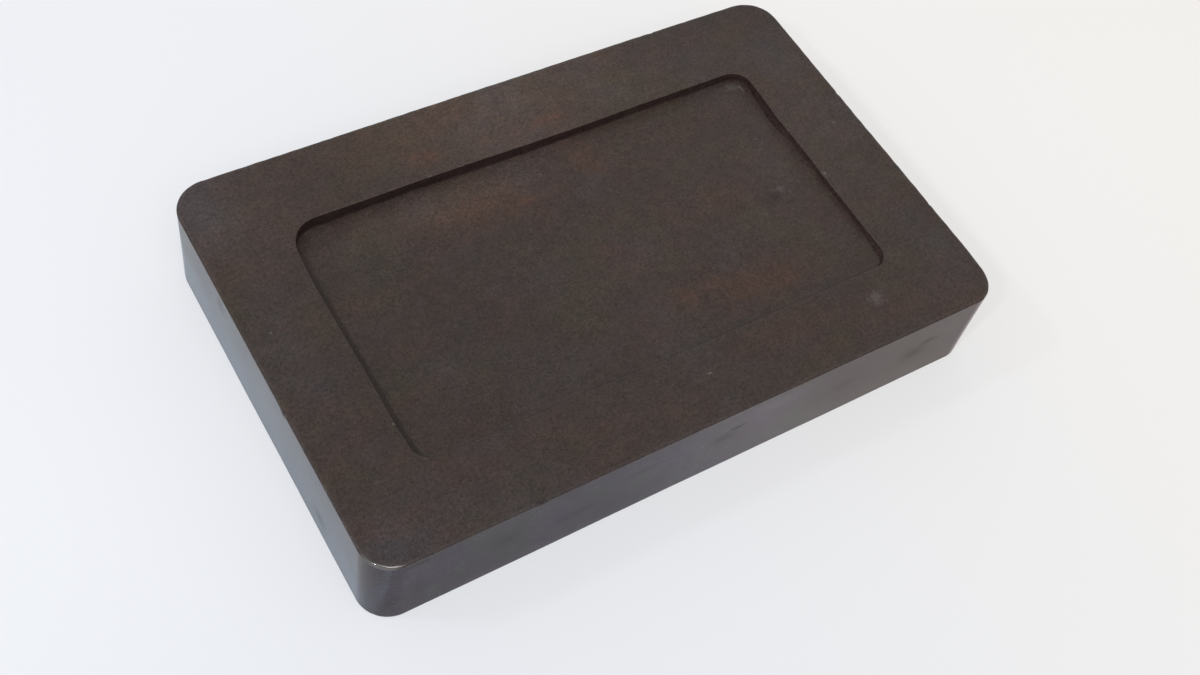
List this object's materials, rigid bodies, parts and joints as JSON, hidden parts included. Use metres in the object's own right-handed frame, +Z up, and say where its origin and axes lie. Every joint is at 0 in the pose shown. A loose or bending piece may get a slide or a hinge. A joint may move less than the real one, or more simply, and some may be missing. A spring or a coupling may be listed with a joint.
{
  "type": "inkstone",
  "caption": "Thick rectangular inkstone slab of dark purplish-brown stone, rounded corners, wide flat frame round a shallow hand-cut ink well whose floor falls gently to one corner.",
  "frame": {"origin": "middle of the underside, on the surface that the stone rests on", "axes": "+X along the slab's long side, +Y towards the far long side, +Z up out of the well"},
  "size_m": [0.212, 0.1366, 0.0314],
  "materials": {
    "ink_stone": "fine-grained dark purplish-brown stone, honed satin upper face, smoother sides, faint reddish and olive mottling"
  },
  "bodies": {
    "root": {"inkstone": "ink_stone"}
  },
  "joints": []
}
